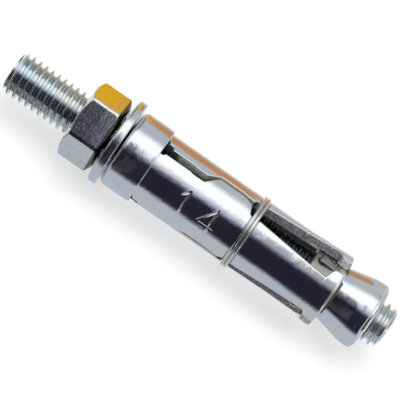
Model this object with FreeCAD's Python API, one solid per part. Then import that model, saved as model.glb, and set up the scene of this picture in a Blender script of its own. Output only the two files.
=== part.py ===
"""Shield anchor for an M8 stud, lying on its washer rim and one segment foot.

The origin is the middle of the ferrule's outer face, where the washer bears on it.
+X runs along the stud towards the expander, +Z is up. All lengths are in millimetres.
Angles round the stud turn about +X and start at +Y.
"""

import FreeCAD, Part
import math
import os

from FreeCAD import Vector

# Stud
stud_radius = 3.95
stud_length = 75.0
stud_tail = 3.15
stud_point = 0.75
thread_clearance = 0.05

# Hexagon nut
nut_width = 12.8
nut_height = 6.5
nut_corner_radius = 7.3
nut_face_radius = 6.1
nut_chamfer_angle = 30.0
nut_bore_chamfer = 0.45
nut_turned = 8.0
nut_gap = 0.4

# Washer, which hangs a little high on the stud because its rim stands on the ground
washer_radius = 7.9
washer_thickness = 1.6
washer_bore_clearance = 0.25
washer_edge_chamfer = 0.15
washer_gap = 0.2
washer_lift = 0.2

# Ferrule, a thin pressed cup
ferrule_radius = 7.03
ferrule_length = 6.0
ferrule_wall = 0.45
ferrule_corner_radius = 0.8
ferrule_hole_clearance = 0.3

# Shield segments
segment_count = 3
segment_radius = 6.45
segment_wall = 1.55
segment_start_gap = 0.15
segment_end = 42.15
head_chamfer = 0.4
first_segment_at = 30.0
joint_gap = 5.0
front_joint_gap = 11.5
narrow_edge = 48.0
neck_edge = 44.0
neck_end = 6.5
mouth_edge = 54.0
mouth_end = 7.2
edge_ramp = 0.2
diagonal_start = 14.4
diagonal_end = 16.5
step_start = 11.9
step_rise = 1.5
tab_round_start = 20.4
tab_round_drop = 6.0
tab_end = 23.1
tab_end_relief = 4.0
band_edge = 45.0
waist_edge = 31.5
waist_end = 39.7
waist_corner = 0.3
waist_corner_rise = 1.5
upper_foot_edge = 50.0
lower_foot_edge = 43.0
foot_side_round = 0.9
foot_radius = 6.82
foot_flare_start = 33.0
foot_end_round = 0.7
foot_wall = 1.75
foot_wall_lead = 1.0

# Retaining wire and its groove
wire_radius = 0.33
wire_pitch = 0.67
wire_turns = 2
wire_centre = 24.8
wire_outer_radius = 6.86
groove_width = 2.15
groove_clearance = 0.05

# Expander
expander_start = 36.3
expander_nose_clearance = 0.12
expander_nose_chamfer = 0.3
cone_slope = 0.2255
cone_length = 5.1
rim_rise = 0.08
rim_length = 1.7
rim_corner_radius = 1.0
expander_bore_chamfer = 0.5
key_width = 1.5
key_radius = 5.75
key_start = 37.1
key_top_end = 38.2
key_tail_start = 40.2
key_tail_radius = 5.3
key_tail_width = 1.0
key_end_ramp = 1.0
key_end_past_foot = 0.4
key_nose_round = 0.7
key_corner_round = 0.45
key_root_depth = 0.45

# How finely the shapes are drawn
corner_chords = 3
side_round_steps = 5
tab_round_steps = 4
wire_sides = 8
cutter_overrun = 1.0

# Values that follow from the sizes above
axis_x = Vector(1, 0, 0)
origin = Vector(0, 0, 0)
segment_pitch = 360.0 / segment_count
wide_edge = segment_pitch - joint_gap - narrow_edge
front_edge = segment_pitch - front_joint_gap - narrow_edge
segment_start = ferrule_wall + segment_start_gap
segment_bore = segment_radius - segment_wall
foot_bore = foot_radius - foot_wall
nose_radius = foot_bore - expander_nose_clearance
cone_start = segment_end
cone_end = cone_start + cone_length
cone_end_radius = nose_radius + cone_slope * cone_length
rim_radius = cone_end_radius + rim_rise
expander_end = cone_end + rim_length + rim_corner_radius
stud_end = expander_end + stud_tail
nut_start = -washer_gap - washer_thickness - nut_gap - nut_height
washer_bore_radius = stud_radius + washer_bore_clearance
ferrule_hole_radius = stud_radius + ferrule_hole_clearance
wire_ring_radius = wire_outer_radius - wire_radius
groove_radius = wire_ring_radius - wire_radius - groove_clearance
groove_start = wire_centre - groove_width / 2
groove_end = wire_centre + groove_width / 2


def at(x, r):
    """A point of a half section: x along the stud, r away from its axis."""
    return Vector(x, 0, r)


def turned(points):
    """The solid that a half section makes when it turns a whole turn round the stud's axis."""
    return Part.Face(Part.makePolygon(points + points[:1])).revolve(origin, axis_x, 360)


def corner(centre_x, centre_r, radius, start_angle, end_angle):
    """A round corner as points on its arc. Angles turn from +X towards +r, in degrees."""
    points = []
    for step in range(corner_chords + 1):
        angle = math.radians(start_angle + (end_angle - start_angle) * step / corner_chords)
        points.append(at(centre_x + radius * math.cos(angle), centre_r + radius * math.sin(angle)))
    return points


def make_stud():
    """The stud, plain where its thread is, at the size of the thread's crest."""
    start = stud_end - stud_length
    point_radius = stud_radius - stud_point
    return turned([
        at(start, 0),
        at(start, point_radius),
        at(start + stud_point, stud_radius),
        at(stud_end - stud_point, stud_radius),
        at(stud_end, point_radius),
        at(stud_end, 0),
    ])


def hexagon(start, height, width, turn):
    """A hexagonal bar along X, one flat's middle at the angle turn."""
    corner_radius = width / 2 / math.cos(math.radians(30))
    points = []
    for side in range(7):
        angle = math.radians(turn + 30 + 60 * side)
        points.append(Vector(start, corner_radius * math.cos(angle), corner_radius * math.sin(angle)))
    face = Part.Face(Part.makePolygon(points))
    return face.extrude(Vector(height, 0, 0))


def bore(start, end, radius, chamfer):
    """A hole along X with a chamfer at each mouth, as the solid that is cut away."""
    return turned([
        at(start, 0),
        at(start, radius + chamfer),
        at(start + chamfer, radius),
        at(end - chamfer, radius),
        at(end, radius + chamfer),
        at(end, 0),
    ])


def make_nut():
    start = nut_start
    end = nut_start + nut_height
    rise = (nut_corner_radius - nut_face_radius) * math.tan(math.radians(nut_chamfer_angle))
    envelope = turned([
        at(start, 0),
        at(start, nut_face_radius),
        at(start + rise, nut_corner_radius),
        at(end - rise, nut_corner_radius),
        at(end, nut_face_radius),
        at(end, 0),
    ])
    blank = hexagon(start, nut_height, nut_width, nut_turned).common(envelope)
    return blank.cut(bore(start, end, stud_radius + thread_clearance, nut_bore_chamfer))


def make_washer():
    end = -washer_gap
    start = end - washer_thickness
    c = washer_edge_chamfer
    ring = turned([
        at(start, washer_bore_radius),
        at(start, washer_radius - c),
        at(start + c, washer_radius),
        at(end - c, washer_radius),
        at(end, washer_radius - c),
        at(end, washer_bore_radius),
    ])
    ring.translate(Vector(0, 0, washer_lift))
    return ring


def make_ferrule():
    r = ferrule_corner_radius
    inner = r - ferrule_wall
    bore_radius = ferrule_radius - ferrule_wall
    return turned([
        at(0, ferrule_hole_radius),
        *corner(r, ferrule_radius - r, r, 180, 90),
        at(ferrule_length, ferrule_radius),
        at(ferrule_length, bore_radius),
        *corner(r, bore_radius - inner, inner, 90, 180),
        at(ferrule_wall, ferrule_hole_radius),
    ])


def shield_ring():
    """The whole shield before it is parted: a tube with the wire's groove and a slightly flared foot."""
    return turned([
        at(segment_start, segment_bore),
        at(segment_start, segment_radius - head_chamfer),
        at(segment_start + head_chamfer, segment_radius),
        at(groove_start, segment_radius),
        at(groove_start, groove_radius),
        at(groove_end, groove_radius),
        at(groove_end, segment_radius),
        at(foot_flare_start, segment_radius),
        *corner(segment_end - foot_end_round, foot_radius - foot_end_round, foot_end_round, 90, 0),
        at(segment_end, foot_bore),
        at(expander_start - foot_wall_lead, foot_bore),
        at(groove_end, segment_bore),
    ])


def back_edge(foot_edge):
    """An edge from the wire to the foot's end, as (x, angle from the segment's middle)."""
    corner_angle = waist_edge + waist_corner_rise
    edge = [
        (groove_start, band_edge),
        (groove_end, band_edge),
        (waist_end - waist_corner, waist_edge),
        (waist_end, corner_angle),
    ]
    for step in range(1, side_round_steps + 1):
        share = step / side_round_steps
        rise = math.sqrt(1 - (1 - share) ** 2)
        edge.append((waist_end + foot_side_round * share, corner_angle + (foot_edge - corner_angle) * rise))
    edge.append((segment_end, foot_edge))
    return edge


def upper_edge():
    """The edge that faces a lower angle: narrow beside the ferrule, wide where the tab is."""
    edge = [
        (segment_start, neck_edge),
        (neck_end, neck_edge),
        (neck_end + edge_ramp, narrow_edge),
        (step_start, narrow_edge),
        (step_start + edge_ramp, narrow_edge - step_rise),
        (diagonal_start, narrow_edge - step_rise),
        (diagonal_end, wide_edge),
    ]
    for step in range(tab_round_steps + 1):
        share = step / tab_round_steps
        x = tab_round_start + (tab_end - tab_round_start) * share
        edge.append((x, wide_edge - tab_round_drop * share ** 2))
    return edge + back_edge(upper_foot_edge)


def lower_edge():
    """The edge that faces a higher angle: wide beside the ferrule, narrow where the neighbour's tab is."""
    edge = [
        (segment_start, neck_edge),
        (ferrule_length, neck_edge),
        (ferrule_length + edge_ramp, mouth_edge),
        (mouth_end, mouth_edge),
        (mouth_end + edge_ramp, front_edge),
        (step_start, front_edge),
        (step_start + edge_ramp, front_edge + step_rise),
        (diagonal_start, front_edge + step_rise),
        (diagonal_end, narrow_edge),
        (tab_round_start, narrow_edge),
        (tab_end, narrow_edge + tab_end_relief),
    ]
    return edge + back_edge(lower_foot_edge)


def angle_on(edge, x):
    """The edge's angle at x, on the straight lines between its points."""
    for (x0, a0), (x1, a1) in zip(edge, edge[1:]):
        if x0 <= x <= x1:
            return a0 + (a1 - a0) * (x - x0) / (x1 - x0)
    return edge[0][1] if x < edge[0][0] else edge[-1][1]


def polar(x, radius, angle):
    turn = math.radians(angle)
    return Vector(x, radius * math.cos(turn), radius * math.sin(turn))


def slot_cutter():
    """The gap between the segment at angle 0 and the next one: a ruled body through radial wedges."""
    low = lower_edge()
    high = upper_edge()
    inside = stud_radius * 0.7
    outside = ferrule_radius * 1.4
    stations = sorted({x for x, angle in low + high})
    stations = [stations[0] - cutter_overrun, *stations, stations[-1] + cutter_overrun]
    sections = []
    for x in stations:
        start = angle_on(low, x)
        end = segment_pitch - angle_on(high, x)
        corners = [
            polar(x, inside, start),
            polar(x, outside, start),
            polar(x, outside, end),
            polar(x, inside, end),
        ]
        sections.append(Part.makePolygon(corners + corners[:1]))
    return Part.makeLoft(sections, True, True)


def make_segments():
    """The parted shield, as solids in the order of their angle."""
    cutter = slot_cutter()
    cutters = []
    for number in range(segment_count):
        copy = cutter.copy()
        copy.rotate(origin, axis_x, first_segment_at + segment_pitch * number)
        cutters.append(copy)
    solids = shield_ring().cut(Part.makeCompound(cutters)).Solids

    def turn_of(solid):
        centre = solid.CenterOfMass
        angle = math.degrees(math.atan2(centre.z, centre.y)) - first_segment_at
        return (angle + segment_pitch / 2) % 360

    return sorted(solids, key=turn_of)


def make_wire():
    """Two close turns of spring wire, wound round the groove. Its section is a flat-sided polygon."""
    height = wire_pitch * wire_turns
    spine = Part.Wire(Part.makeHelix(wire_pitch, height, wire_ring_radius).Edges)
    corner_radius = wire_radius / math.cos(math.pi / wire_sides)
    corners = []
    for side in range(wire_sides):
        turn = 2 * math.pi * (side + 0.5) / wire_sides
        out = corner_radius * math.cos(turn)
        along = corner_radius * math.sin(turn)
        corners.append(Vector(wire_ring_radius + out, 0, along))
    section = Part.makePolygon(corners + corners[:1])
    coil = spine.makePipeShell([section], True, True)
    coil.rotate(origin, Vector(0, 1, 0), 90)
    coil.rotate(origin, axis_x, -90)
    coil.translate(Vector(wire_centre - height / 2, 0, 0))
    return coil


def make_key():
    """One key: a bar on the nose with a round front, lower and narrower behind, that ends on the cone."""
    half = key_width / 2
    tail = key_tail_width / 2
    inside = stud_radius + key_root_depth
    back = cone_start + key_end_past_foot
    side = [
        at(key_start, inside),
        *corner(key_start + key_nose_round, key_radius - key_nose_round, key_nose_round, 180, 90),
        at(key_top_end, key_radius),
        at(key_tail_start, key_tail_radius),
        at(back - key_end_ramp, key_tail_radius),
        at(back, nose_radius),
        at(back, inside),
    ]
    bar = Part.Face(Part.makePolygon(side + side[:1])).extrude(Vector(0, key_width, 0))
    bar.translate(Vector(0, -half, 0))
    r = key_corner_round
    plan = [
        Vector(key_tail_start, -tail, 0),
        Vector(back, -tail, 0),
        Vector(back, tail, 0),
        Vector(key_tail_start, tail, 0),
        Vector(key_top_end, half, 0),
    ]
    plan += [Vector(p.x, p.z, 0) for p in corner(key_start + r, half - r, r, 90, 180)]
    plan += [Vector(p.x, -p.z, 0) for p in reversed(corner(key_start + r, half - r, r, 90, 180))]
    plan.append(Vector(key_top_end, -half, 0))
    outline = Part.Face(Part.makePolygon(plan + plan[:1])).extrude(Vector(0, 0, key_radius))
    return bar.common(outline)


def make_expander():
    c = expander_nose_chamfer
    r = rim_corner_radius
    slope_end = expander_end - r
    body = turned([
        at(expander_start, 0),
        at(expander_start, nose_radius - c),
        at(expander_start + c, nose_radius),
        at(cone_start, nose_radius),
        at(cone_end, cone_end_radius),
        *corner(slope_end, rim_radius - r, r, 90, 0),
        at(expander_end, 0),
    ])
    for number in range(segment_count):
        key = make_key()
        turn = first_segment_at + segment_pitch * (number + 0.5)
        key.rotate(origin, axis_x, turn - 90)
        body = body.fuse(key)
    hole = bore(expander_start, expander_end, stud_radius + thread_clearance, expander_bore_chamfer)
    return body.cut(hole).removeSplitter()


def write(name, shape):
    solids = shape.Solids
    shape = solids[0] if len(solids) == 1 else shape
    box = shape.BoundBox
    print(f"{name}: {len(solids)} solid, {shape.Volume:.1f} mm3, valid {shape.isValid()},"
          f" x {box.XMin:.2f} to {box.XMax:.2f}, z {box.ZMin:.2f} to {box.ZMax:.2f}")
    shape.exportStep(f"parts/{name}.step")


os.makedirs("parts", exist_ok=True)
write("stud", make_stud())
write("hex_nut", make_nut())
write("washer", make_washer())
write("ferrule", make_ferrule())
for number, segment in enumerate(make_segments(), 1):
    write(f"segment_{number}", segment)
write("wire_band", make_wire())
write("expander", make_expander())
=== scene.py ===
# %% [markdown]
# # Dressing a shield anchor
# A shield anchor is a stud with a cone on its end, inside a steel shield that is parted into three
# segments. This file takes the plain CAD pieces as a fixed frame and lays a finer skin over each one:
# the cut thread, the rolled edges, the stamped number, the two strands of spring wire and bright zinc.
# The frame's lengths are metres. The shapes below are worked out in millimetres, because that is how
# a fitter would measure them, and are turned into metres as each mesh is made.

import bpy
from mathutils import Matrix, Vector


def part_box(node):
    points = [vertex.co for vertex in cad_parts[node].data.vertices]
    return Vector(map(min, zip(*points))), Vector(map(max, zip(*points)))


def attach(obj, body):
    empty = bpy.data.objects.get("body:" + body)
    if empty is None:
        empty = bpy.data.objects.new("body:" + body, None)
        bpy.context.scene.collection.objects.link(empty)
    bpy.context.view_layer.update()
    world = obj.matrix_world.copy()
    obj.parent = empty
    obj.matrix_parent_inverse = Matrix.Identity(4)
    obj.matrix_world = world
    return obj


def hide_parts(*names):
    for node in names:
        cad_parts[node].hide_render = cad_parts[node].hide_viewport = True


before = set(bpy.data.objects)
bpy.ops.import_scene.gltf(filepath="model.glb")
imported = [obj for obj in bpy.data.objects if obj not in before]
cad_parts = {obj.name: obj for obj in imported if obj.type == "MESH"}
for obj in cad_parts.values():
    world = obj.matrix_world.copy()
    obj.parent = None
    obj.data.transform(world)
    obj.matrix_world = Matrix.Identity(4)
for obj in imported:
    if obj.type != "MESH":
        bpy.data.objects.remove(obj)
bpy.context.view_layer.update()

# %% Other modules and the unit
import math

import bmesh
import bpy
import numpy as np
from mathutils import Matrix, Vector

MM = 0.001
TURN = 2 * math.pi


def millimetres(node):
    """The lowest and highest corner of a CAD node at rest, in millimetres."""
    low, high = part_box(node)
    return np.array(low) / MM, np.array(high) / MM


stud_low, stud_high = millimetres("stud")
print("the stud runs from", stud_low.round(2), "to", stud_high.round(2))

# %% [markdown]
# ## Surfaces from two parameters
# Everything on this anchor is turned, rolled or pressed round one axis. So a point is named by its
# place along the stud, its radius and its angle, and a piece is a grid of such points. The grid's
# neighbours are joined by four-sided faces. Working on whole arrays at once is quick, and the formula
# of each shape stays in one place where it can be read.

# %% Points and faces of a grid
def around(x, radius, angle):
    """Points from x along the stud, the radius and the angle: y = radius cos, z = radius sin."""
    x, radius, angle = np.broadcast_arrays(x, radius, angle)
    return np.stack([x, radius * np.cos(angle), radius * np.sin(angle)], axis=-1)


def grid_faces(rows, columns, close_rows=False, close_columns=False):
    """The corners of each face between neighbouring lines. A closed direction joins last to first."""
    number = np.arange(rows * columns).reshape(rows, columns)
    if close_rows:
        number = np.vstack([number, number[:1]])
    if close_columns:
        number = np.hstack([number, number[:, :1]])
    corners = [number[:-1, :-1], number[1:, :-1], number[1:, 1:], number[:-1, 1:]]
    return np.stack(corners, axis=-1).reshape(-1, 4).tolist()


def piece(name, body, node, points, faces, crease=40.0):
    """A mesh object from points in millimetres, its double points merged and faces turned outwards."""
    mesh = bpy.data.meshes.new(name)
    mesh.from_pydata((points.reshape(-1, 3) * MM).tolist(), [], faces)
    work = bmesh.new()
    work.from_mesh(mesh)
    bmesh.ops.remove_doubles(work, verts=work.verts, dist=0.002 * MM)
    bmesh.ops.recalc_face_normals(work, faces=work.faces)
    work.to_mesh(mesh)
    work.free()
    mesh.polygons.foreach_set("use_smooth", np.ones(len(mesh.polygons), dtype=bool))
    mesh.set_sharp_from_angle(angle=math.radians(crease))
    made = bpy.data.objects.new(name, mesh)
    bpy.context.scene.collection.objects.link(made)
    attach(made, body)
    if node:
        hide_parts(node)
    triangles = sum(len(polygon.vertices) - 2 for polygon in mesh.polygons)
    print(f"{name}: {len(mesh.vertices)} points, {triangles} triangles, rides on {body}")
    return made


def softened(corners, steps=5):
    """A closed outline whose corners (x, radius, rounding) are arcs that touch both of their sides."""
    outline = []
    for number, (x, r, rounding) in enumerate(corners):
        here = np.array([x, r])
        to_last = np.array(corners[number - 1][:2]) - here
        to_next = np.array(corners[(number + 1) % len(corners)][:2]) - here
        to_last /= np.linalg.norm(to_last)
        to_next /= np.linalg.norm(to_next)
        if rounding == 0:
            outline.append(here[None])
            continue
        half = math.acos(np.clip(to_last @ to_next, -1, 1)) / 2
        inwards = (to_last + to_next) / np.linalg.norm(to_last + to_next)
        centre = here + inwards * rounding / math.sin(half)
        start = here + to_last * rounding / math.tan(half) - centre
        end = here + to_next * rounding / math.tan(half) - centre
        share = np.linspace(0, 1, steps)[:, None]
        arc = start * (1 - share) + end * share
        outline.append(centre + rounding * arc / np.linalg.norm(arc, axis=1, keepdims=True))
    return np.vstack(outline)


def divided(outline, spacing):
    """The same closed outline with points added, so that no gap along it is wider than the spacing."""
    filled = []
    for here, there in zip(outline, np.roll(outline, -1, axis=0)):
        count = max(1, math.ceil(np.linalg.norm(there - here) / spacing))
        share = np.arange(count)[:, None] / count
        filled.append(here + (there - here) * share)
    return np.vstack(filled)


def turned(outline, columns):
    """The closed outline of (x, radius) carried once round the stud's axis."""
    angle = np.linspace(0, TURN, columns, endpoint=False)
    points = around(outline[:, :1], outline[:, 1:], angle[None])
    return points, grid_faces(len(outline), columns, close_rows=True, close_columns=True)


# %% [markdown]
# ## The stud's thread
# A rolled thread is one ridge that climbs along a helix. If the grid's rows ran straight round the
# stud, they would cut across the ridge and leave saw teeth. Here each row is slid along by one pitch
# in a turn, so every row stays on the crest, on a flank or in the root all the way round.

# %% Stud
PITCH = 1.25
THREAD_DEPTH = 0.72
CREST_SHARE = 0.09
ROOT_SHARE = 0.12
STUD_POINT = 0.75
GREASE_START, GREASE_END = 28.0, 37.0
GREASE_SHARE = 0.62


def thread_depth(turns_from_crest):
    """How deep the thread is at a part of a pitch from its crest: flat, then a soft flank, then flat."""
    apart = np.abs((turns_from_crest + 0.5) % 1 - 0.5)
    flank = np.clip((apart - CREST_SHARE) / (0.5 - CREST_SHARE - ROOT_SHARE), 0, 1)
    return THREAD_DEPTH * (0.75 * flank + 0.25 * flank * flank * (3 - 2 * flank))


def free_depth_share(x):
    """How much of the thread's depth is left: grease fills most of it just in front of the expander."""
    filling = np.clip((x - GREASE_START) / 2, 0, 1) * np.clip((GREASE_END - x) / 0.5, 0, 1)
    return 1 - GREASE_SHARE * filling


def threaded_stud(start, end, radius, rows_per_turn=16, columns=64, first_crest=0.36):
    """Radius = crest radius - depth of the thread at (x / pitch - angle), held under a cone at each end."""
    rows = math.ceil((end - start) / PITCH + 1) * rows_per_turn + 1
    row = np.arange(rows)[:, None] / rows_per_turn
    angle = np.linspace(0, TURN, columns + 1)[None]
    x = np.clip(start + PITCH * (row + angle / TURN - 1), start, end)
    depth = thread_depth((x - start) / PITCH - angle / TURN - first_crest) * free_depth_share(x)
    from_end = np.minimum(x - start, end - x)
    point = radius - STUD_POINT + from_end
    shape = around(x, np.minimum(radius - depth, point), angle)
    rings = np.array([[start], [start], [start], [end], [end], [end]])
    share = np.array([[0.0], [0.9], [0.99], [0.99], [0.9], [0.0]])
    faces_of_ends = around(rings, share * (radius - STUD_POINT), angle)
    points = np.concatenate([faces_of_ends[:3], shape, faces_of_ends[3:]])
    return points, grid_faces(rows + 6, columns + 1)


stud_points, stud_faces = threaded_stud(stud_low[0], stud_high[0], stud_high[2])
stud = piece("threaded_stud", "stud", "stud", stud_points, stud_faces, crease=60)

# %% [markdown]
# ## The hexagon nut
# A nut is a hexagonal bar whose corners were cut by a cone on each face, which leaves the curved
# line between flat and chamfer. Flats and cone are each a limit on the radius. Adding up their
# reciprocals raised to a high power gives the smallest limit nearly everywhere, and a small round
# where two meet, as plating and tumbling leave it.

# %% Nut
NUT_WIDTH = 12.5
NUT_FREE_FACE_RADIUS = 6.1
NUT_WASHER_FACE_RADIUS = 5.7
NUT_CORNER_RADIUS = 7.1
NUT_TURNED = math.radians(8.0)
NUT_SHARPNESS = 200
BORE_CLEARANCE = 0.05
NUT_COUNTERSINK = 0.45
NUT_FACE_RING = 0.35
NUT_CHAMFER = math.radians(30)


def nut_radius(from_free_face, from_washer_face, angle):
    """1 / radius^p = sum of (|cos(angle - flat)| / half width)^p over the flats + sum of 1 / limit^p."""
    flats = NUT_TURNED + np.arange(3) * TURN / 6
    reach = np.abs(np.cos(angle[..., None] - flats)) / (NUT_WIDTH / 2)
    steepness = 1 / math.tan(NUT_CHAMFER)
    limits = [
        np.full(angle.shape, NUT_CORNER_RADIUS),
        NUT_FREE_FACE_RADIUS + from_free_face * steepness,
        NUT_WASHER_FACE_RADIUS + from_washer_face * steepness,
    ]
    total = (reach ** NUT_SHARPNESS).sum(axis=-1)
    total = total + sum(limit ** -float(NUT_SHARPNESS) for limit in limits)
    return total ** (-1 / NUT_SHARPNESS)


def hexagon_nut(low, high, bore, columns_per_flat=30, rows=41):
    """The outside from nut_radius, rows closer at both faces, and a hole with a countersink at each end."""
    angle = NUT_TURNED + np.linspace(0, TURN, 6 * columns_per_flat, endpoint=False)[None]
    share = 0.5 - 0.5 * np.cos(np.linspace(0, math.pi, rows))[:, None]
    x = low + (high - low) * share
    outside = around(x, nut_radius(x - low, high - x, np.broadcast_to(angle, (rows, angle.size))), angle)
    mouth = bore + NUT_COUNTERSINK
    hole = np.array([
        [high, mouth + NUT_FACE_RING],
        [high, mouth],
        [high - NUT_COUNTERSINK, bore],
        [low + NUT_COUNTERSINK, bore],
        [low, mouth],
        [low, mouth + NUT_FACE_RING],
    ])
    inside = around(hole[:, :1], hole[:, 1:], angle)
    points = np.concatenate([outside, inside])
    return points, grid_faces(len(points), angle.size, close_rows=True, close_columns=True)


nut_low, nut_high = millimetres("hex_nut")
nut_points, nut_faces = hexagon_nut(nut_low[0], nut_high[0], stud_high[2] + BORE_CLEARANCE)
nut = piece("hexagon_nut", "nut", "hex_nut", nut_points, nut_faces, crease=25)

# %% [markdown]
# ## Washer and ferrule
# The washer is punched from plate: one edge is rolled over by the punch and the other is sharper.
# The ferrule is a shallow cup pressed from thin sheet, so its corner is a full bend and its mouth a
# thin lip. Both are an outline of few corners, each with its own rounding, turned round the axis.
# The washer hangs a little off centre, because its hole is wider than the stud.

# %% Washer
washer_low, washer_high = millimetres("washer")
WASHER_BORE = 4.2
washer_radius = (washer_high[2] - washer_low[2]) / 2
washer_lift = (washer_high[2] + washer_low[2]) / 2
washer_outline = softened([
    (washer_low[0], WASHER_BORE, 0.15),
    (washer_low[0], washer_radius, 0.5),
    (washer_high[0], washer_radius, 0.25),
    (washer_high[0], WASHER_BORE, 0.15),
])
washer_points, washer_faces = turned(washer_outline, 180)
washer_points = washer_points + np.array([0, 0, washer_lift])
washer = piece("washer_disc", "washer", "washer", washer_points, washer_faces)

# %% Ferrule
ferrule_low, ferrule_high = millimetres("ferrule")
FERRULE_WALL = 0.45
FERRULE_HOLE = 4.25
FERRULE_BEND = 0.9
FERRULE_LIP, FERRULE_LIP_DROP = 0.75, 0.10
ferrule_radius = ferrule_high[2]
ferrule_outline = softened([
    (ferrule_low[0], FERRULE_HOLE, 0.1),
    (ferrule_low[0], ferrule_radius, FERRULE_BEND),
    (ferrule_high[0] - FERRULE_LIP, ferrule_radius, 8.0),
    (ferrule_high[0], ferrule_radius - FERRULE_LIP_DROP, 0.2),
    (ferrule_high[0], ferrule_radius - FERRULE_WALL, 0.08),
    (ferrule_low[0] + FERRULE_WALL, ferrule_radius - FERRULE_WALL, FERRULE_BEND - FERRULE_WALL),
    (ferrule_low[0] + FERRULE_WALL, FERRULE_HOLE, 0.1),
], steps=8)
ferrule_points, ferrule_faces = turned(ferrule_outline, 192)
ferrule = piece("ferrule_cup", "shield", "ferrule", ferrule_points, ferrule_faces)

# %% [markdown]
# ## The segments
# Three equal segments interlock round the stud: beside the ferrule each is narrow on one edge and
# wide on the other, and past a slanting step it is the other way about. The edges are angles that
# change along the stud. A grid of rows along the stud and columns across the segment is stretched
# between the two edge angles of its row, so that the outer columns follow the cut exactly. The
# radius then drops in a quarter round towards the cut, as rolled sheet does, and the section is
# closed by two walls and the inner face.

# %% The segment's sizes along the stud
SEGMENT_RADIUS = 6.45
SEGMENT_BORE = 4.9
SEGMENT_START, SEGMENT_END = (side[0] for side in millimetres("segment_1"))
HEAD_CHAMFER = 0.4
NARROW_EDGE = 48.0
WIDE_EDGE = 67.0
FRONT_EDGE = 60.5
NECK_EDGE, NECK_END = 44.0, 6.5
MOUTH_EDGE, MOUTH_START, MOUTH_END = 54.0, 6.0, 7.2
STEP_START, STEP_RISE = 11.9, 1.5
DIAGONAL_START, DIAGONAL_END = 14.4, 16.5
TAB_ROUND_START, TAB_ROUND_LENGTH, TAB_ROUND_DROP = 20.4, 2.7, 6.0
TAB_END, TAB_END_RELIEF = 23.1, 4.0
EDGE_RAMP = 0.2
BAND_START, BAND_END = 23.725, 25.875
BAND_EDGE = 45.0
WAIST_EDGE = 31.5
WAIST_END = 39.7
WAIST_CORNER = 33.0
UPPER_FOOT_EDGE = 50.0
LOWER_FOOT_EDGE = 43.0
FOOT_SIDE_ROUND = 0.9
FOOT_RADIUS = 6.82
FOOT_BORE = 5.07
FOOT_ROUND = 0.45
EDGE_ROUND = 0.22
GROOVE_START, GROOVE_END = 24.05, 25.55
GROOVE_RADIUS = 6.15
GROOVE_CORNERS = [GROOVE_START - 0.06, GROOVE_START + 0.04, GROOVE_END - 0.04, GROOVE_END + 0.06]
FLARE_START = 33.0
BORE_TAPER_END = 35.3


def back_edge(foot_edge):
    """Places and angles behind the wire: a narrow waist, then a quarter round out to the foot's width."""
    share = np.linspace(0, 1, 9)[1:]
    rise = np.sqrt(1 - (1 - share) ** 2)
    foot_places = WAIST_END + FOOT_SIDE_ROUND * share
    foot = np.column_stack([foot_places, WAIST_CORNER + (foot_edge - WAIST_CORNER) * rise])
    waist = [
        (BAND_START, BAND_EDGE),
        (BAND_END, BAND_EDGE),
        (WAIST_END - 0.3, WAIST_EDGE),
        (WAIST_END, WAIST_CORNER),
    ]
    return np.vstack([waist, foot, [(SEGMENT_END, foot_edge)]])


tab = np.linspace(0, 1, 6)
tab_places = TAB_ROUND_START + TAB_ROUND_LENGTH * tab
tab_round = np.column_stack([tab_places, WIDE_EDGE - TAB_ROUND_DROP * tab ** 2])
upper_front = [
    (SEGMENT_START, NECK_EDGE),
    (NECK_END, NECK_EDGE),
    (NECK_END + EDGE_RAMP, NARROW_EDGE),
    (STEP_START, NARROW_EDGE),
    (STEP_START + EDGE_RAMP, NARROW_EDGE - STEP_RISE),
    (DIAGONAL_START, NARROW_EDGE - STEP_RISE),
    (DIAGONAL_END, WIDE_EDGE),
]
lower_front = [
    (SEGMENT_START, NECK_EDGE),
    (MOUTH_START, NECK_EDGE),
    (MOUTH_START + EDGE_RAMP, MOUTH_EDGE),
    (MOUTH_END, MOUTH_EDGE),
    (MOUTH_END + EDGE_RAMP, FRONT_EDGE),
    (STEP_START, FRONT_EDGE),
    (STEP_START + EDGE_RAMP, FRONT_EDGE + STEP_RISE),
    (DIAGONAL_START, FRONT_EDGE + STEP_RISE),
    (DIAGONAL_END, NARROW_EDGE),
    (TAB_ROUND_START, NARROW_EDGE),
    (TAB_END, NARROW_EDGE + TAB_END_RELIEF),
]
UPPER_EDGE = np.vstack([upper_front, tab_round, back_edge(UPPER_FOOT_EDGE)])
LOWER_EDGE = np.vstack([lower_front, back_edge(LOWER_FOOT_EDGE)])
print("edge points:", len(UPPER_EDGE), "and", len(LOWER_EDGE))


def edge_angle(edge, x, soft=0.22):
    """The edge's angle at x in radians, averaged over a short stretch so that no corner is sharp."""
    places, angles = edge.T
    shift = np.linspace(-soft, soft, 7)
    weight = np.cos(shift / soft * math.pi / 2.2)
    near = np.interp(x[:, None] + shift, places, angles)
    return np.radians((near * weight).sum(axis=1) / weight.sum())


def shield_radius(x):
    """Outer radius along the shield: chamfered head, body, groove for the wire, flared and rounded foot."""
    places = [SEGMENT_START, SEGMENT_START + HEAD_CHAMFER, *GROOVE_CORNERS]
    places += [FLARE_START, SEGMENT_END - FOOT_ROUND]
    radii = [SEGMENT_RADIUS - HEAD_CHAMFER, SEGMENT_RADIUS, SEGMENT_RADIUS, GROOVE_RADIUS]
    radii += [GROOVE_RADIUS, SEGMENT_RADIUS, SEGMENT_RADIUS, FOOT_RADIUS]
    past = np.clip(x - (SEGMENT_END - FOOT_ROUND), 0, FOOT_ROUND)
    return np.interp(x, places, radii) - (FOOT_ROUND - np.sqrt(FOOT_ROUND ** 2 - past ** 2))


def shield_bore(x):
    """Inner radius along the shield: straight, then a slow taper to the foot round the expander's nose."""
    return np.interp(x, [BAND_END, BORE_TAPER_END], [SEGMENT_BORE, FOOT_BORE])


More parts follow.
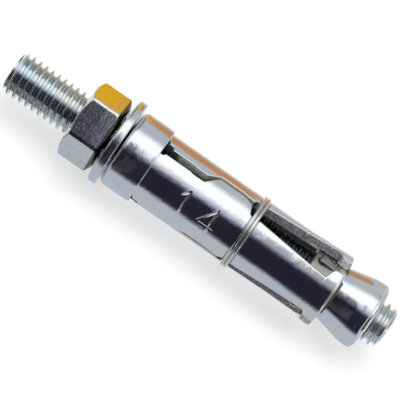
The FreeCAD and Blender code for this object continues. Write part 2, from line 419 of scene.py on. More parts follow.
# %% [markdown]
# ### The stamped number
# The real shield carries its size in thin stamped figures. Here it is only 14, the hole's diameter
# in millimetres. A stamp presses a groove and raises a little burr on both sides of it. Both are
# functions of one thing, the distance to the nearest stroke, so the figures are real geometry that
# catches the light at its edges.

# %% Stamped figures
FIGURE_HEIGHT = 5.2
FIGURE_MIDDLE = -0.15
STAMP_DEPTH = 0.10
STAMP_HALF_WIDTH = 0.12
BURR_HEIGHT = 0.025
BURR_WIDTH = 0.7
STAMP_FADE = 0.9
ONE_AT = 13.3
FOUR_AT = 18.4
half_figure = FIGURE_HEIGHT / 2
STROKES = [
    (ONE_AT + 0.45, -half_figure, ONE_AT + 0.45, half_figure),
    (ONE_AT + 0.45, half_figure, ONE_AT - 0.75, half_figure - 1.3),
    (FOUR_AT + 0.85, -half_figure, FOUR_AT + 0.85, half_figure),
    (FOUR_AT + 0.85, half_figure, FOUR_AT - 1.55, -half_figure + 1.75),
    (FOUR_AT - 1.55, -half_figure + 1.75, FOUR_AT + 1.65, -half_figure + 1.75),
]


def stamped(x, up):
    """Depth = the deepest of the strokes' grooves less a burr beside each. Strokes fade at their ends."""
    depth = np.zeros(x.shape)
    burr = np.zeros(x.shape)
    for x0, up0, x1, up1 in STROKES:
        along = np.array([x1 - x0, up1 - up0])
        length = math.hypot(*along)
        share = ((x - x0) * along[0] + (up - FIGURE_MIDDLE - up0) * along[1]) / length ** 2
        share = np.clip(share, 0, 1)
        apart = np.hypot(x - x0 - share * along[0], up - FIGURE_MIDDLE - up0 - share * along[1])
        from_end = np.clip(np.minimum(share, 1 - share) * length / STAMP_FADE, 0, 1)
        strength = 0.35 + 0.65 * from_end * (2 - from_end)
        widths = apart / STAMP_HALF_WIDTH
        depth = np.maximum(depth, strength * STAMP_DEPTH * np.exp(-widths ** 2))
        burr = np.maximum(burr, strength * BURR_HEIGHT * np.exp(-((widths - 2) / BURR_WIDTH) ** 2))
    return depth - burr * np.clip(1 - depth / (0.2 * STAMP_DEPTH), 0, 1)


# %% Segment pieces
def segment_rows(fine):
    """Places of the rows: even, closer at the groove and the foot's end, closest at the figures."""
    end_round = SEGMENT_END - FOOT_ROUND + FOOT_ROUND * np.sin(np.linspace(0, math.pi / 2, 8))
    even = np.arange(SEGMENT_START, SEGMENT_END, 0.13)
    rows = [even, [SEGMENT_START + HEAD_CHAMFER], GROOVE_CORNERS, end_round]
    if fine:
        rows.append(np.arange(ONE_AT - 1.4, FOUR_AT + 2.4, 0.06))
    return np.unique(np.concatenate(rows).round(3))


def columns_between(fine):
    """Shares of the way from edge to edge: even, or crowded in the middle where the figures stand."""
    even = np.linspace(0, 1, 110 if fine else 30)[1:-1]
    if not fine:
        return even
    return 0.5 + (even - 0.5) * (0.45 + 2.2 * (even - 0.5) ** 2)


def wall(x, outer, inner, angle):
    """Two columns on a cut wall, a third and two thirds of the way in from the outer radius."""
    share = np.array([[0.35, 0.7]])
    return around(x, outer + (inner - outer) * share, angle)


def segment_surface(middle, fine):
    """Radius = shield's radius - quarter round by the distance to the cut - stamp, between two edges."""
    x = segment_rows(fine)[:, None]
    low = -edge_angle(UPPER_EDGE, x[:, 0])[:, None]
    high = edge_angle(LOWER_EDGE, x[:, 0])[:, None]
    margin = np.array([0.0, 0.03, 0.08, 0.14, 0.22, 0.32]) / SEGMENT_RADIUS
    between = low + margin[-1] + (high - low - 2 * margin[-1]) * columns_between(fine)
    angle = np.hstack([low + margin, between, high - margin[::-1]])
    slope_low = np.gradient(low[:, 0], x[:, 0])[:, None] * SEGMENT_RADIUS
    slope_high = np.gradient(high[:, 0], x[:, 0])[:, None] * SEGMENT_RADIUS
    from_low = (angle - low) * SEGMENT_RADIUS / np.hypot(1, slope_low)
    from_high = (high - angle) * SEGMENT_RADIUS / np.hypot(1, slope_high)
    inward = EDGE_ROUND - np.clip(np.minimum(from_low, from_high), 0, EDGE_ROUND)
    drop = EDGE_ROUND - np.sqrt(EDGE_ROUND ** 2 - inward ** 2)
    radius = shield_radius(x) - drop
    if fine:
        radius = radius - stamped(np.broadcast_to(x, angle.shape), -angle * SEGMENT_RADIUS)
    bore = shield_bore(x)
    outside = around(x, radius, middle + angle)
    inside = around(x, bore, middle + high + (low - high) * np.linspace(0, 1, 13))
    high_wall = wall(x, radius[:, -1:], bore, middle + high)
    low_wall = wall(x, radius[:, :1], bore, middle + low)[:, ::-1]
    points = np.concatenate([outside, high_wall, inside, low_wall], axis=1)
    rows, columns = points.shape[:2]
    faces = grid_faces(rows, columns, close_columns=True)
    faces += [list(range(columns)), list(range((rows - 1) * columns, rows * columns))]
    return points, faces


segments = []
for number, middle in enumerate([30, 150, 270], 1):
    points, faces = segment_surface(math.radians(middle), fine=number == 2)
    body = f"segment_{number}"
    segments.append(piece(f"shield_{body}", body, body, points, faces, crease=50))

# %% [markdown]
# ## The spring wire
# Two close turns of spring wire hold the segments together. Each turn lies flat in the groove, and
# the first crosses over to the second where it isn't seen, under the anchor. When the segments
# spread, the real wire opens. Here it is three arcs, one on each segment, and a slightly thinner
# tongue at an arc's end slides out of the next arc, so that the wire never shows a break.

# %% Wire
WIRE_RADIUS = 0.33
WIRE_RING = 6.53
WIRE_MIDDLE = 24.8
STRAND_OFFSET = 0.335
TONGUE = math.radians(13)
TONGUE_THICKNESS = 0.93 * WIRE_RADIUS
TONGUE_OVERLAP = 0.02
CROSSING = math.radians(22)
CROSSING_CLEAR = math.radians(16)


def strand(start, end, x_of, thickness, steps=60, sides=14):
    """A ring at each step: centre + thickness (cos a outwards + sin a across), a point at both ends."""
    angle = np.linspace(start, end, steps)
    centre = around(x_of(angle), WIRE_RING, angle)
    outwards = around(0.0, 1.0, angle)
    along = np.gradient(centre, axis=0)
    across = np.cross(along, outwards)
    across /= np.linalg.norm(across, axis=1, keepdims=True)
    a = np.linspace(0, TURN, sides, endpoint=False)[None, :, None]
    ring = centre[:, None] + thickness * (np.cos(a) * outwards[:, None] + np.sin(a) * across[:, None])
    caps = np.repeat(centre[[0, -1], None], sides, axis=1)
    points = np.concatenate([caps[:1], ring, caps[1:]])
    return points.reshape(-1, 3), np.array(grid_faces(steps + 2, sides, close_columns=True))


def straight_strand(start, end, side, thickness=WIRE_RADIUS, steps=60):
    """A strand that stays on one side of the groove's middle, -1 or 1."""
    def level(angle):
        return np.full(angle.shape, WIRE_MIDDLE + side * STRAND_OFFSET)

    return strand(start, end, level, thickness, steps)


def wire_arc(middle, crossing):
    """Two strands over one segment. Over the crossing one, the strands change places in a short arc."""
    half = TURN / 6

    def over(angle):
        share = np.clip((angle - middle) / CROSSING + 0.5, 0, 1)
        return WIRE_MIDDLE + STRAND_OFFSET * (1 - 2 * share * share * (3 - 2 * share))

    if crossing:
        strands = [
            strand(middle - half, middle + half, over, WIRE_RADIUS),
            straight_strand(middle - half, middle - CROSSING_CLEAR, -1),
            straight_strand(middle + CROSSING_CLEAR, middle + half, 1),
        ]
    else:
        strands = [straight_strand(middle - half, middle + half, side) for side in (-1, 1)]
    tongue_start = middle + half - TONGUE_OVERLAP
    for side in (-1, 1):
        tongue_end = middle + half + TONGUE
        strands.append(straight_strand(tongue_start, tongue_end, side, TONGUE_THICKNESS, steps=16))
    points, faces = zip(*strands)
    first_point = np.cumsum([0] + [len(group) for group in points])
    faces = [group + start for group, start in zip(faces, first_point)]
    return np.vstack(points), np.vstack(faces).tolist()


wires = []
for number, middle in enumerate([30, 150, 270], 1):
    points, faces = wire_arc(math.radians(middle), crossing=number == 3)
    node = "wire_band" if number == 1 else None
    body = f"segment_{number}"
    wires.append(piece(f"wire_arc_{number}", body, node, points, faces, crease=60))

# %% [markdown]
# ## The expander
# The cone that spreads the segments is turned, with three keys left standing on its nose. They slide
# in the slots between the segments and keep the cone from turning with the nut. Its outline is
# turned as the washer's is, and the keys are added as a height: inside a key's width the radius is
# that of a slightly crowned top, and at its sides it falls to the nose in a fifth of a millimetre.

# %% Expander
expander_low, expander_high = millimetres("expander")
NOSE_RADIUS = 4.95
CONE_START, CONE_END, CONE_RADIUS = 42.15, 47.25, 6.1
RIM_RADIUS = 6.18
KEY_WIDTH = 1.5
KEY_RADIUS = 5.75
KEY_START, KEY_BACK = 37.1, 42.55
KEY_TOP_END, KEY_TAIL_START = 38.2, 40.2
KEY_TAIL_RADIUS, KEY_TAIL_WIDTH = 5.3, 1.0
KEY_ROUND = 0.7
KEY_CORNER = 0.45
KEY_CROWN = 0.1
KEY_SIDE = 0.2
EXPANDER_COUNTERSINK = 0.5


def key_radius(x, angle):
    """A key's share of the surface and its radius: a slightly crowned top, round in front, low behind."""
    places = [KEY_TOP_END, KEY_TAIL_START, KEY_BACK - 1.0, KEY_BACK]
    front = np.clip(KEY_START + KEY_ROUND - x, 0, KEY_ROUND)
    top = np.interp(x, places, [KEY_RADIUS, KEY_TAIL_RADIUS, KEY_TAIL_RADIUS, NOSE_RADIUS])
    top = top - KEY_ROUND + np.sqrt(KEY_ROUND ** 2 - front ** 2)
    corner = np.clip(KEY_START + KEY_CORNER - x, 0, KEY_CORNER)
    half = np.interp(x, places[:2], [KEY_WIDTH / 2, KEY_TAIL_WIDTH / 2])
    half = half - KEY_CORNER + np.sqrt(KEY_CORNER ** 2 - corner ** 2)
    sideways = np.abs(top * np.sin(angle))
    share = np.clip((half - sideways) / KEY_SIDE + 0.5, 0, 1)
    share = np.where((x >= KEY_START) & (x <= KEY_BACK), share * share * (3 - 2 * share), 0)
    return share, (top - KEY_CROWN * (sideways / half) ** 2) / np.cos(angle)


def expander_surface():
    """Radius = the larger of the turned outline and the keys. The columns crowd at the keys' sides."""
    bore = stud_high[2] + BORE_CLEARANCE
    start, end = expander_low[0], expander_high[0]
    outline = softened([
        (start, bore + EXPANDER_COUNTERSINK, 0),
        (start, NOSE_RADIUS, 0.3),
        (CONE_START, NOSE_RADIUS, 0.12),
        (CONE_END, CONE_RADIUS, 9.0),
        (end, RIM_RADIUS + 0.02, 1.0),
        (end, bore + EXPANDER_COUNTERSINK, 0),
        (end - EXPANDER_COUNTERSINK, bore, 0),
        (start + EXPANDER_COUNTERSINK, bore, 0),
    ], steps=10)
    outline = divided(outline, 0.13)
    side = math.asin(KEY_WIDTH / 2 / KEY_RADIUS)
    local = np.linspace(-1.35, 1.35, 41) * side
    rest = np.linspace(local[-1], TURN / 3 + local[0], 26)[1:-1]
    local = np.concatenate([local, rest])
    key_places = np.radians([90, 210, 330])
    angle = (key_places[:, None] + local).reshape(-1)
    from_key = np.tile(local, 3)[None]
    x, radius = outline[:, :1], outline[:, 1:]
    share, key = key_radius(x, np.where(np.abs(from_key) < 0.5, from_key, 0.5))
    outer = np.arange(len(outline))[:, None] < np.argmax(outline[:, 0] >= end - 0.001)
    raised = np.where(outer & (key > radius), radius + (key - radius) * share, radius)
    points = around(x, raised, angle[None])
    return points, grid_faces(len(outline), angle.size, close_rows=True, close_columns=True)


expander_points, expander_faces = expander_surface()
expander = piece(
    "cone_expander", "stud", "expander", expander_points, expander_faces, crease=50
)

# %% [markdown]
# ## Arithmetic on shader sockets
# Blender's materials are networks of nodes. Written one node at a time, a simple sum takes many
# lines. This small class wraps a socket, so that plus, minus, times and power build the nodes, and
# a pattern can be written as the formula that it is.

# %% Socket arithmetic
class Signal:
    """An output socket of a material's nodes. Arithmetic on it adds Math or Vector Math nodes."""

    def __init__(self, tree, socket):
        self.tree = tree
        self.socket = socket

    def node(self, kind, settings=None, inputs=None, output=0):
        """Adds any node: its settings first, then what goes into its sockets, by name or number."""
        added = self.tree.nodes.new(kind)
        for name, setting in (settings or {}).items():
            setattr(added, name, setting)
        for name, value in (inputs or {}).items():
            if isinstance(value, Signal):
                self.tree.links.new(value.socket, added.inputs[name])
            else:
                added.inputs[name].default_value = value
        return Signal(self.tree, added.outputs[output])

    def is_vector(self, value):
        if isinstance(value, Signal):
            return value.socket.type in ("VECTOR", "RGBA")
        return isinstance(value, tuple)

    def combine(self, operation, first, second):
        if self.is_vector(first) or self.is_vector(second):
            sides = [
                value if isinstance(value, (Signal, tuple)) else (value,) * 3 for value in (first, second)
            ]
            return self.node("ShaderNodeVectorMath", {"operation": operation}, dict(enumerate(sides)))
        return self.node("ShaderNodeMath", {"operation": operation}, {0: first, 1: second})

    def __add__(self, other):
        return self.combine("ADD", self, other)

    def __radd__(self, other):
        return self.combine("ADD", other, self)

    def __sub__(self, other):
        return self.combine("SUBTRACT", self, other)

    def __rsub__(self, other):
        return self.combine("SUBTRACT", other, self)

    def __mul__(self, other):
        return self.combine("MULTIPLY", self, other)

    def __rmul__(self, other):
        return self.combine("MULTIPLY", other, self)

    def __truediv__(self, other):
        return self.combine("DIVIDE", self, other)

    def __pow__(self, other):
        return self.node("ShaderNodeMath", {"operation": "POWER"}, {0: self, 1: other})

    def dot(self, other):
        settings = {"operation": "DOT_PRODUCT"}
        return self.node("ShaderNodeVectorMath", settings, {0: self, 1: other}, output="Value")

    def past(self, start, end):
        """0 where this place is before start along the stud and 1 past end, both in millimetres."""
        along = self.node("ShaderNodeSeparateXYZ", {}, {"Vector": self}, output="X")
        return along.ramp(start * MM, end * MM)

    def ramp(self, low, high):
        """0 below low, 1 above high, smooth between them."""
        limits = {"From Min": low, "From Max": high, "Value": self}
        return self.node("ShaderNodeMapRange", {"interpolation_type": "SMOOTHSTEP"}, limits)

    def noise(self, per_mm, detail=2.0, rough=0.5):
        """Cloudy noise with so many lumps to a millimetre, about 0 to 1."""
        inputs = {"Vector": self, "Scale": per_mm / MM, "Detail": detail, "Roughness": rough}
        return self.node("ShaderNodeTexNoise", {}, inputs)

    def mix(self, first, second):
        """The first colour where this signal is 0, and the second where it is 1."""
        inputs = {"Factor": self, 6: first, 7: second}
        return self.node("ShaderNodeMix", {"data_type": "RGBA"}, inputs, output=2)


print("socket arithmetic is ready")

# %% [markdown]
# ## Bright zinc
# Zinc plating is a mirror that isn't quite flat. Its colour is a cold grey with faint warm and blue
# clouds from the clear passivation. Close up it has an orange-peel skin, fine scratches along the
# way the piece was drawn or turned, and here and there a pit. The look comes mostly from what it
# reflects, so colour varies little, roughness varies more, and the bump is only a few microns deep.
# Where a part lies in shade inside or beside another, that shade is painted darker into its colour.
# The walls where a segment was sheared from the sheet are matt and torn, with painted shade in the
# neck and at the foot's end and a painted highlight on the foot.

# %% Zinc material
WAVE_HEIGHT = 0.000040
RIPPLE_HEIGHT = 0.0000035
STREAK_HEIGHT = 0.0000016
GRAIN_HEIGHT = 0.0000022
PIT_DEPTH = 0.000008
CLOUDS_PER_MM, WAVES_PER_MM, RIPPLES_PER_MM = 0.22, 0.55, 2.2
GRAINS_PER_MM, TEARS_PER_MM, PITS_PER_MM = 3.6, 3.2, 0.75
CUT_NECK, CUT_BEHIND_WIRE = (8.4, 9.2), (20.0, 27.0)
CUT_FOOT, CUT_FOOT_END = (39.8, 40.6), (41.95, 42.1)
CUT_FRONT = ((0.44, 0.45, 0.40, 1.0), (0.74, 0.75, 0.69, 1.0))
CUT_REAR = ((0.17, 0.16, 0.19, 1.0), (0.58, 0.56, 0.57, 1.0))
# Painted shade in the neck and at the foot's end, and a painted highlight on the foot.
CUT_NECK_PAINTED_SHADE = 0.2
CUT_FOOT_PAINTED_HIGHLIGHT = 0.35
CUT_END_PAINTED_SHADE = 1.2


def is_cut(place, normal):
    """1 where the skin faces round the stud or straight along it, as cut walls and ends do, 0 elsewhere."""
    along = (1.0, 0.0, 0.0)
    outwards = place * (0.0, 1.0, 1.0)
    settings = {"operation": "CROSS_PRODUCT"}
    round_the_stud = place.node("ShaderNodeVectorMath", settings, {0: outwards, 1: along})
    wall = (round_the_stud.dot(normal) ** 2 / outwards.dot(outwards)).ramp(0.45, 0.88)
    end = (normal.dot(along) ** 2).ramp(0.92, 0.99)
    return wall.combine("MAXIMUM", wall, end)


def cut_colour(place):
    """Torn metal, pale before the wire and violet behind it. Painted shade darkens the neck and the
    foot's very end, and a painted highlight brightens the rest of the foot.
    """
    torn = place.noise(TEARS_PER_MM, 3.0, 0.65).ramp(0.40, 0.68)
    foot = place.past(*CUT_FOOT)
    # Painted shade darkens the walls in the neck and at the foot's very end; a painted highlight lightens
    # the foot.
    neck = CUT_NECK_PAINTED_SHADE + place.past(*CUT_NECK) * (1.0 - CUT_NECK_PAINTED_SHADE)
    shade = neck + foot * CUT_FOOT_PAINTED_HIGHLIGHT - place.past(*CUT_FOOT_END) * CUT_END_PAINTED_SHADE
    violet = place.past(*CUT_BEHIND_WIRE) - foot
    low, high = (violet.mix(front, rear) * shade for front, rear in zip(CUT_FRONT, CUT_REAR))
    return torn.mix(low, high)


def zinc(
    name, colour, polish, peel=1.0, grit=1.0, speckle=0.0, pits=0.0,
    streaks=(0.4, 3.0, 3.0), painted_shade=None, cut=False,
):
    """Metal with waves and grit in its skin.

    polish is its roughness, peel the height of its waves and grit that of its grain. speckle is how
    dark the grain's spots are, and pits how dark and deep its pits are. streaks is how fine the
    scratches are along each axis. The painted shade is a stretch along the stud in mm and how bright
    it stays there: shade inside or beside other parts, painted darker into the colour. cut makes the
    sheared walls matt and torn, with painted shade in the neck and at the foot's end and a painted
    highlight on the foot.
    """
    material = bpy.data.materials.new(name)
    material.use_nodes = True
    tree = material.node_tree
    shader = tree.nodes["Principled BSDF"]
    shader.inputs["Metallic"].default_value = 1.0
    sockets = tree.nodes.new("ShaderNodeTexCoord").outputs
    place = Signal(tree, sockets["Object"])
    cloud = place.noise(CLOUDS_PER_MM, 3.0)
    waves = place.noise(WAVES_PER_MM, 2.0)
    ripples = place.noise(RIPPLES_PER_MM, 2.0)
    grain = place.noise(GRAINS_PER_MM, 2.0, 0.65)
    streak = (place * streaks).noise(1.0, 3.0, 0.6)
    warm = tuple(np.array(colour) * (1.03, 1.0, 0.93)) + (1.0,)
    cold = tuple(np.array(colour) * (0.955, 0.99, 1.02)) + (1.0,)
    dark = tuple(np.array(colour) * 0.45) + (1.0,)
    tinted = cloud.ramp(0.35, 0.65).mix(cold, warm)
    spots = grain.ramp(0.56, 0.70) * speckle
    cells = {"Vector": place, "Scale": PITS_PER_MM / MM}
    from_middle = place.node("ShaderNodeTexVoronoi", {}, cells)
    cell_shade = place.node("ShaderNodeTexVoronoi", {}, cells, output=1)
    is_pit = (1.0 - from_middle.ramp(0.05, 0.17)) * cell_shade.ramp(0.45, 0.6) * pits
    coloured = (is_pit + spots * 0.5).mix(tinted, dark)
    rough = polish + (cloud - 0.5) * 0.08 + (streak - 0.5) * 0.10 + is_pit * 0.2 + spots * 0.12
    # Painted shade: a stretch along the stud that lies in shade inside or beside other parts gets a darker
    # colour and a little more roughness.
    if painted_shade:
        start, end, share = painted_shade
        covered = place.past(start - 0.3, start) * (1.0 - place.past(end, end + 1))
        shaded_colour = tuple(np.array(colour) * (share, share, 0.92 * share)) + (1.0,)
        coloured = covered.mix(coloured, shaded_colour)
        rough = rough + covered * 0.12
    if cut:
        sheared = is_cut(place, Signal(tree, sockets["Normal"]))
        coloured = sheared.mix(coloured, cut_colour(place))
        rough = rough + sheared * 0.35
        tree.links.new((1.0 - sheared * 0.7).socket, shader.inputs["Metallic"])
    height = waves * WAVE_HEIGHT * peel + ripples * RIPPLE_HEIGHT * peel + streak * STREAK_HEIGHT
    height = height + grain * GRAIN_HEIGHT * grit - is_pit * PIT_DEPTH
    bump = place.node("ShaderNodeBump", {}, {"Height": height, "Strength": 1.0, "Distance": 1.0})
    tree.links.new(coloured.socket, shader.inputs["Base Color"])
    tree.links.new(rough.socket, shader.inputs["Roughness"])
    tree.links.new(bump.socket, shader.inputs["Normal"])
    return material


finishes = {
    "zinc_stud": zinc(
        # Painted shade on the thread inside the shield and the expander.
        "bright zinc on thread", (0.71, 0.76, 0.78), 0.15, peel=0.3, painted_shade=(6.0, 49.5, 0.12)
    ),
    "zinc_nut": zinc(
        "bright zinc on nut", (0.76, 0.76, 0.75), 0.08, peel=0.4,
        # Painted shade on the nut's end next to the washer.
        grit=3.0, speckle=1.5, pits=0.8, painted_shade=(-2.9, 1.0, 0.2),
    ),
    "zinc_washer": zinc("bright zinc on washer", (0.76, 0.78, 0.78), 0.18, peel=0.6, grit=2.0),
    "zinc_ferrule": zinc("bright zinc on ferrule", (0.78, 0.79, 0.80), 0.12, peel=1.1),
    "zinc_segment": zinc("bright zinc on shield", (0.78, 0.79, 0.80), 0.11, cut=True),
    "zinc_expander": zinc(
        "bright zinc on expander", (0.78, 0.80, 0.81), 0.11, peel=0.5,
        # Painted shade on the expander's nose inside the shield's foot.
        pits=1.0, streaks=(3.0, 0.5, 0.5), painted_shade=(30.0, 40.6, 0.4),
    ),
    "spring_wire": zinc("bright spring wire", (0.72, 0.70, 0.65), 0.14, peel=0.2),
}
dressed = {
    "zinc_stud": [stud],
    "zinc_nut": [nut],
    "zinc_washer": [washer],
    "zinc_ferrule": [ferrule],
    "zinc_segment": segments,
    "zinc_expander": [expander],
    "spring_wire": wires,
}
for slot_name, members in dressed.items():
    for member in members:
        member.data.materials.append(finishes[slot_name])
print("finishes:", ", ".join(sorted(finishes)))

# %% [markdown]
# ## Floor
# The anchor lies on a plain pale floor. The floor is an ordinary matt surface that takes the
# anchor's soft shadow, with a little light of its own for what the camera and the metal see, so
# that it comes out white.

# %% Floor
FLOOR_HALF = 0.6
FLOOR_GREY = 0.62
FLOOR_GLOW = 0.50
floor_height = min(washer_low[2], -FOOT_RADIUS) * MM
floor_corners = np.array([[-1, -1, 0], [1, -1, 0], [1, 1, 0], [-1, 1, 0]])
floor_points = floor_corners * FLOOR_HALF + (0, 0, floor_height)
floor_mesh = bpy.data.meshes.new("floor")
floor_mesh.from_pydata(floor_points.tolist(), [], [(0, 1, 2, 3)])
floor = bpy.data.objects.new("floor", floor_mesh)
bpy.context.scene.collection.objects.link(floor)
paper = bpy.data.materials.new("pale floor")
paper.use_nodes = True
tree = paper.node_tree
matt = tree.nodes["Principled BSDF"]
matt.inputs["Base Color"].default_value = (FLOOR_GREY, FLOOR_GREY, FLOOR_GREY, 1.0)
matt.inputs["Roughness"].default_value = 0.9
matt.inputs["Specular IOR Level"].default_value = 0.0
rays = tree.nodes.new("ShaderNodeLightPath")
camera_ray, glossy_ray, clear_ray = (
    Signal(tree, rays.outputs[f"Is {kind} Ray"]) for kind in ("Camera", "Glossy", "Transmission")
)
seen = camera_ray.combine("MAXIMUM", camera_ray, glossy_ray.combine("MAXIMUM", glossy_ray, clear_ray))
emission = tree.nodes.new("ShaderNodeEmission")
emission.inputs["Color"].default_value = (1.0, 1.0, 1.0, 1.0)
tree.links.new((seen * FLOOR_GLOW).socket, emission.inputs["Strength"])
both = tree.nodes.new("ShaderNodeAddShader")
tree.links.new(matt.outputs[0], both.inputs[0])
tree.links.new(emission.outputs[0], both.inputs[1])
tree.links.new(both.outputs[0], tree.nodes["Material Output"].inputs["Surface"])
floor_mesh.materials.append(paper)
print("floor at", round(floor_height / MM, 2), "mm")

# %% [markdown]
# ## The room that the metal mirrors
# Chrome has no look of its own. A photographer lights it by what it mirrors: a white box overhead
# for the highlight, a black card in front for the deep band, something warm behind. Here that room
# is one sheet, bent round the stud and down onto the floor: a grey wall with a few cards hung in
# front of it. Each card covers a stretch of angles and a stretch of the stud and fades at its edges.
# The angle 0 is towards the near side, 90 straight up and 180 the far side. The tones are plain ones
# from the list of colour names that web pages use. Only reflections see the sheet. The camera looks
# through it and it casts no shadow.

# %% Cards of the room
TONES = {
    "white": (255, 255, 255),
    "silver": (192, 192, 192),
    "dark grey": (169, 169, 169),
    "light steel blue": (176, 196, 222),
    "slate grey": (112, 128, 144),
    "dim grey": (105, 105, 105),
    "dark slate blue": (72, 61, 139),
    "black": (0, 0, 0),
    "linen": (250, 240, 230),
    "peru": (205, 133, 63),
    "sienna": (160, 82, 45),
    "goldenrod": (218, 165, 32),
}
WALL = "dark grey"
ALL_ROUND = (-400, 400)
WHOLE_STUD = (-400, 400)
FREE_THREAD = (-70, -15)
OVER_NUT = (-12.5, -4)
OVER_WASHER = (-3, -0.5)
OVER_SHIELD = (0, 22)
BEHIND_WIRE = (28, 34)
OVER_RIM = (46, 54)
BEYOND_END = (65, 85)
# Tone, how much of it, its angles, their soft edge, its places along the stud, their soft edge.
CARDS = [
    ("light steel blue", 0.3, ALL_ROUND, 1, WHOLE_STUD, 1),
    ("dim grey", 1.0, (-400, -20), 10, FREE_THREAD, 2),
    ("dim grey", 1.0, (110, 160), 20, FREE_THREAD, 2),
    ("slate grey", 1.0, (110, 130), 10, OVER_RIM, 3),
    ("linen", 0.8, (210, 400), 20, WHOLE_STUD, 1),
    ("sienna", 0.5, (160, 180), 10, OVER_SHIELD, 4),
    ("peru", 0.5, (160, 180), 10, OVER_SHIELD, 4),
    ("peru", 0.4, (170, 190), 10, OVER_WASHER, 1),
    ("goldenrod", 0.5, (170, 190), 10, OVER_RIM, 3),
    ("goldenrod", 1.0, (160, 190), 10, OVER_NUT, 2),
    ("white", 1.0, (75, 100), 25, WHOLE_STUD, 1),
    ("dark grey", 1.0, (50, 70), 10, BEHIND_WIRE, 5),
    ("black", 0.7, (30, 60), 20, OVER_NUT, 2),
    ("black", 0.85, (-10, 40), 20, WHOLE_STUD, 1),
    ("dark slate blue", 0.15, (-10, 60), 20, WHOLE_STUD, 1),
    ("dim grey", 0.6, (-10, 30), 15, OVER_WASHER, 1),
    ("silver", 1.0, ALL_ROUND, 1, BEYOND_END, 15),
]
print("the room has", len(CARDS), "cards in", len(TONES), "tones")

# %% The room's sheet
VIEW_ANGLE = 49.5
VIEW_DISTANCE = 380.0
VIEW_CENTRE = 15.6
SKIN_RADIUS = 6.7
ROOM_RADIUS = 160.0
ROOM_LIFT = 0.2
ZINC_MIRRORS = 0.78


def mirrored_place(x, angle):
    """Where the skin at x mirrors to at an angle: R u(skin) + t u(angle), fanned out along the stud."""
    skin = (math.radians(VIEW_ANGLE) + angle) / 2
    start = SKIN_RADIUS * np.stack([-np.cos(skin), np.sin(skin)])
    way = np.stack([-np.cos(angle), np.sin(angle)])
    along = (start * way).sum(axis=0)
    to_arc = np.sqrt(along ** 2 - SKIN_RADIUS ** 2 + ROOM_RADIUS ** 2) - along
    drop = floor_height / MM + ROOM_LIFT - start[1]
    to_floor = np.where(way[1] < -0.01, drop / np.minimum(way[1], -0.01), np.inf)
    travel = np.minimum(to_arc, to_floor)
    y, z = start + way * travel
    fanned = x[:, None] + (x[:, None] - VIEW_CENTRE) * travel / VIEW_DISTANCE
    return np.stack(np.broadcast_arrays(fanned, y, z), axis=-1)


def linear_light(shown):
    """The light that shows on a screen as a colour given as 0 to 255."""
    shown = shown / 255
    return np.where(shown <= 0.04045, shown / 12.92, ((shown + 0.055) / 1.055) ** 2.4)


def inside(value, stretch, edge):
    """1 within the stretch and 0 beyond its edge, with s^2 (3 - 2 s) between them."""
    start, end = stretch
    share = np.clip(1 + np.minimum(value - start, end - value) / edge, 0, 1)
    return share * share * (3 - 2 * share)


def room_colours(x, angle):
    """The wall with each card laid over it in turn: shown + (tone - shown) * how much it covers."""
    shown = np.ones((x.size, angle.size, 1)) * TONES[WALL]
    for tone, amount, angles, soft, places, fade in CARDS:
        covered = np.outer(inside(x, places, fade), inside(np.degrees(angle), angles, soft))
        shown = shown + (np.array(TONES[tone]) - shown) * (amount * covered)[..., None]
    return linear_light(shown) / ZINC_MIRRORS


room_x = np.concatenate([[-200, -80, -45], np.arange(-30.0, 60.0, 0.7), [62, 85, 105, 230]])
room_angle = np.radians(np.arange(-120.0, 268.0, 1.5))
room_points = mirrored_place(room_x, room_angle)
room_mesh = bpy.data.meshes.new("room")
room_faces = grid_faces(room_x.size, room_angle.size)
room_mesh.from_pydata((room_points.reshape(-1, 3) * MM).tolist(), [], room_faces)
colours = np.ones((room_x.size, room_angle.size, 4))
colours[..., :3] = room_colours(room_x, room_angle)
light = room_mesh.color_attributes.new("light", "FLOAT_COLOR", "POINT")
light.data.foreach_set("color", colours.ravel())
room = bpy.data.objects.new("room", room_mesh)
bpy.context.scene.collection.objects.link(room)
glowing = bpy.data.materials.new("mirrored room")
glowing.use_nodes = True
tree = glowing.node_tree
stored = tree.nodes.new("ShaderNodeAttribute")
stored.attribute_name = "light"
emission = tree.nodes.new("ShaderNodeEmission")
tree.links.new(stored.outputs["Color"], emission.inputs["Color"])
tree.links.new(emission.outputs[0], tree.nodes["Material Output"].inputs["Surface"])
room_mesh.materials.append(glowing)
room.visible_camera = False
room.visible_diffuse = False
room.visible_shadow = False
room.visible_transmission = False
print("the room's sheet has", len(room_mesh.vertices), "points")

# %% [markdown]
# ## Light and camera
# One large soft lamp overhead and a pale world light the scene evenly. The camera stands 49.5
# degrees above the near side, square to the stud, and is rolled so that the stud runs down to the
# right.

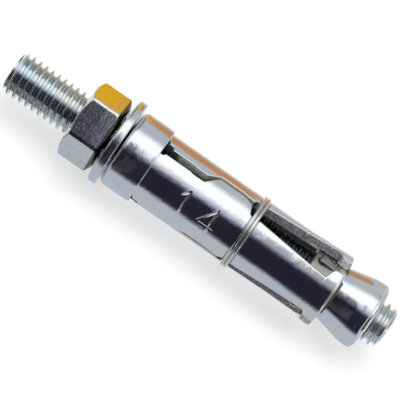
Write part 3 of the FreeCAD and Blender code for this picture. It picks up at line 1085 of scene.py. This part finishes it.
# %% Light
world = bpy.data.worlds.new("pale world")
bpy.context.scene.world = world
world.use_nodes = True
tree = world.node_tree
background = tree.nodes["Background"]
rays = tree.nodes.new("ShaderNodeLightPath")
camera_ray = Signal(tree, rays.outputs["Is Camera Ray"])
glossy_ray = Signal(tree, rays.outputs["Is Glossy Ray"])
clear_ray = Signal(tree, rays.outputs["Is Transmission Ray"])
AMBIENT = 0.62
MIRRORED_AMBIENT = 0.40
direct = camera_ray.combine("MAXIMUM", camera_ray, clear_ray)
strength = AMBIENT + direct * (1.0 - AMBIENT) + glossy_ray * (MIRRORED_AMBIENT - AMBIENT)
background.inputs["Color"].default_value = (1.0, 1.0, 1.0, 1.0)
tree.links.new(strength.socket, background.inputs["Strength"])

LAMP_PLACE = Vector((0.02, 0.03, 0.30))
lamp_data = bpy.data.lights.new("overhead", "AREA")
lamp_data.shape = "RECTANGLE"
lamp_data.size = 0.30
lamp_data.size_y = 0.20
lamp_data.energy = 0.45
lamp = bpy.data.objects.new("overhead", lamp_data)
lamp.location = LAMP_PLACE
lamp.rotation_euler = (-LAMP_PLACE).to_track_quat("-Z", "Y").to_euler()
lamp.visible_glossy = False
bpy.context.scene.collection.objects.link(lamp)
print("lamp:", lamp_data.energy, "W")

# %% Camera
ELEVATION = math.radians(VIEW_ANGLE)
ROLL = math.radians(34.85)
DISTANCE = VIEW_DISTANCE * MM
SEEN_WIDTH = 0.0661
SENSOR_WIDTH = 36
TARGET = Vector((VIEW_CENTRE * MM, 0.0, 0.0))

backwards = Vector((0, -math.cos(ELEVATION), math.sin(ELEVATION)))
upright = Vector((0, math.sin(ELEVATION), math.cos(ELEVATION)))
along_stud = Vector((1, 0, 0))
right = math.cos(ROLL) * along_stud + math.sin(ROLL) * upright
up = -math.sin(ROLL) * along_stud + math.cos(ROLL) * upright
camera_data = bpy.data.cameras.new("camera")
camera_data.sensor_width = SENSOR_WIDTH
camera_data.lens = SENSOR_WIDTH * DISTANCE / SEEN_WIDTH
camera_data.clip_start = 0.01
camera = bpy.data.objects.new("camera", camera_data)
turned_to = Matrix((right, up, backwards)).transposed().to_4x4()
camera.matrix_world = Matrix.Translation(TARGET + backwards * DISTANCE) @ turned_to
bpy.context.scene.collection.objects.link(camera)
bpy.context.scene.camera = camera
bpy.context.scene.view_settings.view_transform = "Standard"
print("lens:", round(camera_data.lens, 1), "mm")
